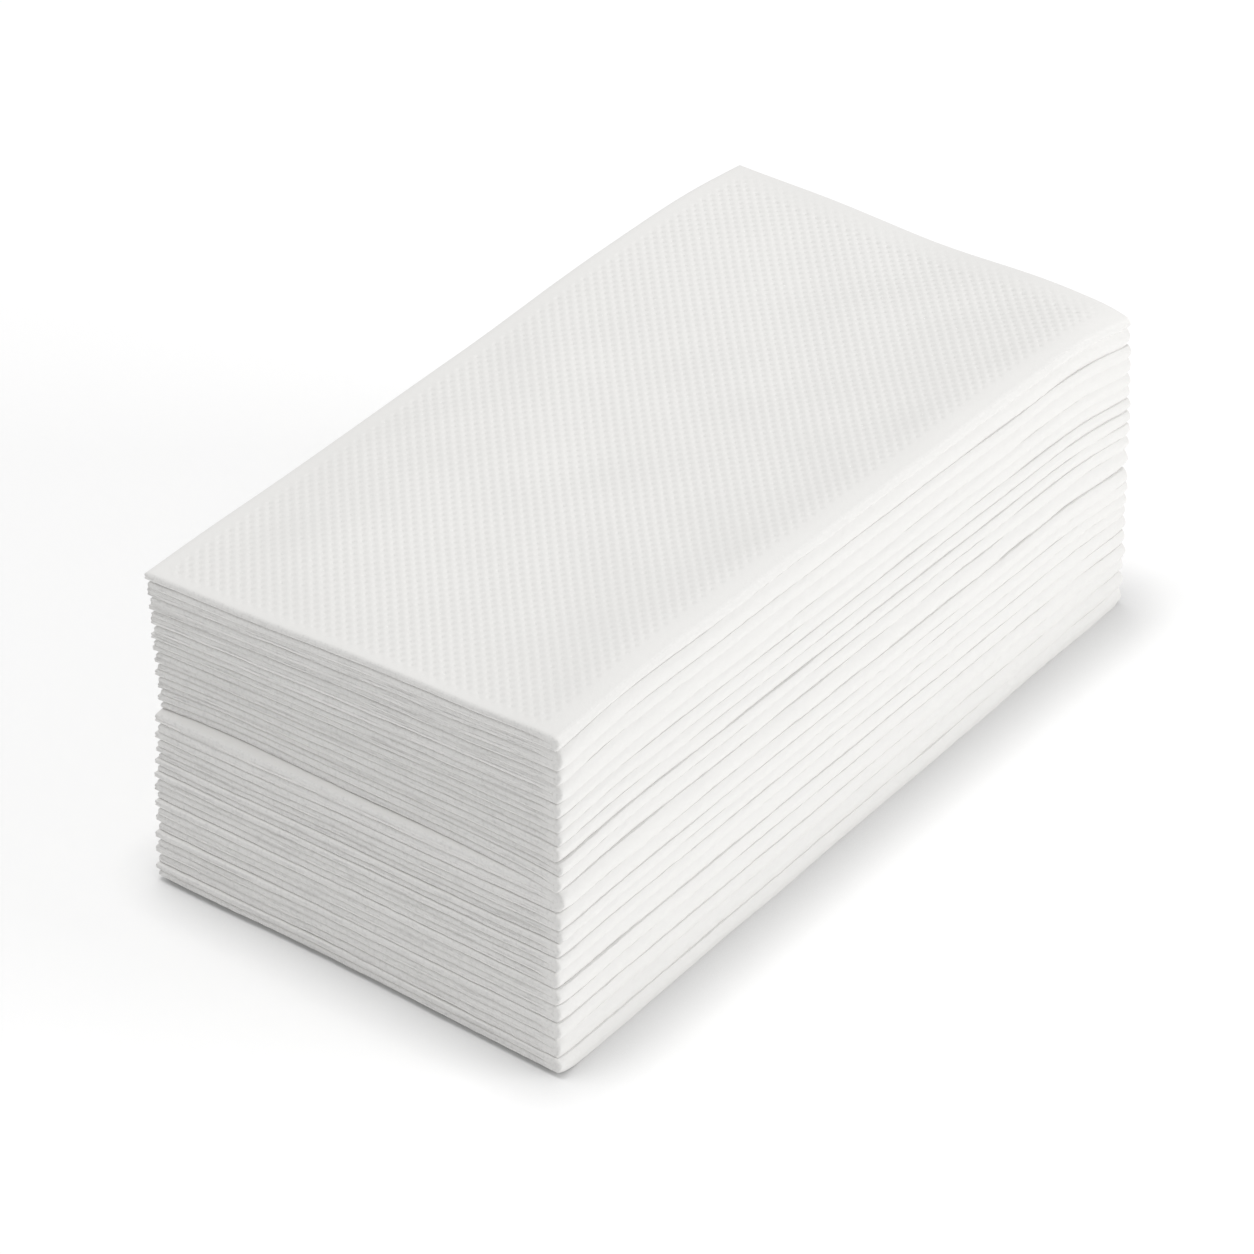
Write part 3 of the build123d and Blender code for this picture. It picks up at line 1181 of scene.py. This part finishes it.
def soft_box(name, place, size, power):
    """A large rectangular light that is turned to the stack."""
    light = bpy.data.lights.new(name, "AREA")
    light.shape = "RECTANGLE"
    light.size, light.size_y = size
    light.energy = power
    box = bpy.data.objects.new(name, light)
    box.location = place
    heading = Vector(LIGHT_TARGET) - box.location
    box.rotation_euler = heading.to_track_quat("-Z", "Y").to_euler()
    bpy.context.scene.collection.objects.link(box)


def even_sky(strength):
    """White light from all sides."""
    world = bpy.data.worlds.new("studio")
    world.use_nodes = True
    background = world.node_tree.nodes["Background"]
    background.inputs["Color"].default_value = (1, 1, 1, 1)
    background.inputs["Strength"].default_value = strength
    return world


def photo_camera():
    """The camera at the photograph's place and angle."""
    camera = bpy.data.cameras.new("camera")
    camera.sensor_width = SENSOR_WIDTH
    camera.lens = CAMERA_FOCAL_PIXELS / PHOTO_SIDE * SENSOR_WIDTH
    camera.clip_start = CLIP_START
    camera.clip_end = CLIP_END
    turn, tilt = math.radians(CAMERA_AZIMUTH), math.radians(CAMERA_ELEVATION)
    back = Vector(
        (
            math.sin(turn) * math.cos(tilt),
            -math.cos(turn) * math.cos(tilt),
            math.sin(tilt),
        )
    )
    place = (Vector(CAMERA_AIM) + back * CAMERA_DISTANCE) * MM
    roll = Matrix.Rotation(math.radians(CAMERA_ROLL), 4, "Z")
    facing = (-back).to_track_quat("-Z", "Y").to_matrix().to_4x4()
    eye = bpy.data.objects.new("camera", camera)
    eye.matrix_world = Matrix.Translation(place) @ facing @ roll
    bpy.context.scene.collection.objects.link(eye)
    return eye


class NAPKIN_OT_stage(bpy.types.Operator):
    """Set up the floor, the light and the camera"""

    bl_idname = "napkin.stage"
    bl_label = "Stage"

    def execute(self, context):
        scene = context.scene
        stage = scene.napkin_stage
        scene.view_settings.view_transform = "Standard"
        floor = floor_sheet(pale_floor(stage))
        scene.world = even_sky(stage.sky_strength)
        soft_box("overhead", *OVERHEAD, stage.overhead_power)
        soft_box("beside", *BESIDE, stage.side_power)
        soft_box("over_cut_edges", *OVER_CUT_EDGES, stage.cut_side_power)
        scene.camera = photo_camera()
        return {"FINISHED"}


OPERATORS = (NAPKIN_OT_lower_bundle, NAPKIN_OT_upper_bundle, NAPKIN_OT_top_napkin, NAPKIN_OT_stage)


class NAPKIN_PT_panel(bpy.types.Panel):
    """Lists the pieces of the napkin stack"""

    bl_label = "Napkin Stack"
    bl_idname = "NAPKIN_PT_panel"
    bl_space_type = "VIEW_3D"
    bl_region_type = "UI"
    bl_category = "Napkins"

    def draw(self, context):
        for operator in OPERATORS:
            self.layout.operator(operator.bl_idname)


SETTINGS = {
    "napkin_folds": NapkinFolds,
    "napkin_lie": StackLie,
    "napkin_emboss": TopEmboss,
    "napkin_stage": StudioStage,
}


def register():
    """Registers the settings, the operators and the panel."""
    for name, group in SETTINGS.items():
        bpy.utils.register_class(group)
        setattr(bpy.types.Scene, name, bpy.props.PointerProperty(type=group))
    for thing in OPERATORS + (NAPKIN_PT_panel,):
        bpy.utils.register_class(thing)


def unregister():
    """Takes them all out again."""
    for thing in (NAPKIN_PT_panel,) + OPERATORS[::-1]:
        bpy.utils.unregister_class(thing)
    for name, group in SETTINGS.items():
        delattr(bpy.types.Scene, name)
        bpy.utils.unregister_class(group)


def main():
    """Builds the whole scene."""
    register()
    bpy.ops.napkin.lower_bundle()
    bpy.ops.napkin.upper_bundle()
    bpy.ops.napkin.top_napkin()
    bpy.ops.napkin.stage()


if __name__ == "__main__":
    main()
